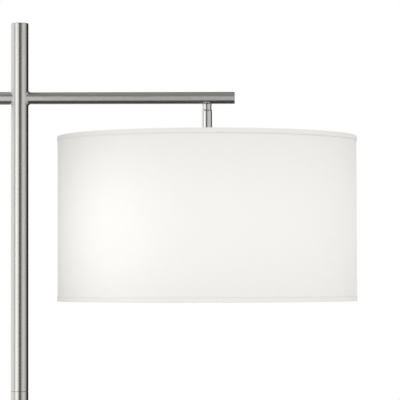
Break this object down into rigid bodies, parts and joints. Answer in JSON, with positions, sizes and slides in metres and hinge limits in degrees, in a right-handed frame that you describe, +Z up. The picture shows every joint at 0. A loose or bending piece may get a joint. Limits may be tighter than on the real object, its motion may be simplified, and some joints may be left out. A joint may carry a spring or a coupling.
{
  "type": "floor lamp with hanging drum shade",
  "caption": "Floor lamp: a round pole on a weighted base, crossed near its top by a horizontal arm that carries a hanging drum shade on a short swivel stem.",
  "frame": {"origin": "centre of the underside of the base, on the axis of the pole", "axes": "+Z up the pole, +X along the arm towards the shade, +Y to the back, where the cord's gland is"},
  "size_m": [0.613, 0.42, 1.575],
  "materials": {
    "brushed_nickel": "nickel plate brushed along the tubes",
    "polished_nickel": "satin to bright nickel plate, turned",
    "zinc_steel": "zinc-plated, threaded",
    "cast_iron": "rough, painted",
    "felt": "dense felt",
    "gland_rubber": "matt",
    "lead_insulation": "smooth",
    "shade_linen": "fine plain weave, hardback, lit from inside",
    "shade_liner": "satin translucent backing sheet",
    "trim_linen": "fine plain weave, folded and glued",
    "white_wire": "white powder coat",
    "porcelain": "glazed",
    "bulb_brass": "stamped thread",
    "bulb_glass": "soft white coated, lit",
    "switch_plastic": "fine texture"
  },
  "bodies": {
    "root": {"base_pad": "felt", "base_weight": "cast_iron", "base_cover": "brushed_nickel", "cord_gland": "gland_rubber", "base_nipple": "zinc_steel", "base_washer": "zinc_steel", "base_lock_nut": "zinc_steel", "pole_foot_insert": "zinc_steel", "pole_lower": "brushed_nickel", "pole_middle": "brushed_nickel", "pole_upper": "brushed_nickel", "pole_top_plug": "brushed_nickel", "pole_coupler_1": "zinc_steel", "pole_coupler_2": "zinc_steel", "internal_lead": "lead_insulation", "cross_arm": "brushed_nickel", "arm_end_plug": "brushed_nickel", "cross_stub": "brushed_nickel", "stub_end_plug": "brushed_nickel", "arm_swivel_nut": "zinc_steel", "swivel_collar": "polished_nickel"},
    "swivel": {"swivel_neck": "polished_nickel", "pivot_screw_left": "zinc_steel", "pivot_screw_right": "zinc_steel"},
    "lamp_head": {"swivel_tongue": "zinc_steel", "stem_tube": "polished_nickel", "stem_lead": "lead_insulation", "check_ring": "polished_nickel", "spider_hub": "white_wire", "spider_arm_1": "white_wire", "spider_arm_2": "white_wire", "spider_arm_3": "white_wire", "hub_lock_nut": "zinc_steel", "drop_tube": "zinc_steel", "shade_fabric": "shade_linen", "shade_liner": "shade_liner", "shade_trim_top": "trim_linen", "shade_trim_bottom": "trim_linen", "shade_ring_top": "white_wire", "shade_ring_bottom": "white_wire", "cluster_lid": "polished_nickel", "cluster_lock_nut": "zinc_steel", "cluster_cup": "polished_nickel", "socket_nipple_1": "zinc_steel", "socket_nipple_2": "zinc_steel", "socket_cap_1": "polished_nickel", "socket_cap_2": "polished_nickel", "socket_shell_1": "polished_nickel", "socket_shell_2": "polished_nickel", "socket_core_1": "porcelain", "socket_core_2": "porcelain", "bulb_screw_1": "bulb_brass", "bulb_screw_2": "bulb_brass", "bulb_glass_1": "bulb_glass", "bulb_glass_2": "bulb_glass", "switch_body": "switch_plastic", "switch_ring_nut": "polished_nickel"},
    "knob": {"switch_shaft": "zinc_steel", "switch_knob": "switch_plastic"}
  },
  "joints": [
    {"name": "shade_turn", "type": "hinge", "parent": "root", "child": "swivel", "pos_m": [0.263, 0, 1.4609], "axis": [0, 0, 1], "range_deg": [-170, 170]},
    {"name": "shade_tilt", "type": "hinge", "parent": "swivel", "child": "lamp_head", "pos_m": [0.263, 0, 1.4547], "axis": [1, 0, 0], "range_deg": [-8, 8]},
    {"name": "switch_turn", "type": "hinge", "parent": "lamp_head", "child": "knob", "pos_m": [0.263, 0, 1.26], "axis": [0, 0, 1], "continuous": true}
  ]
}
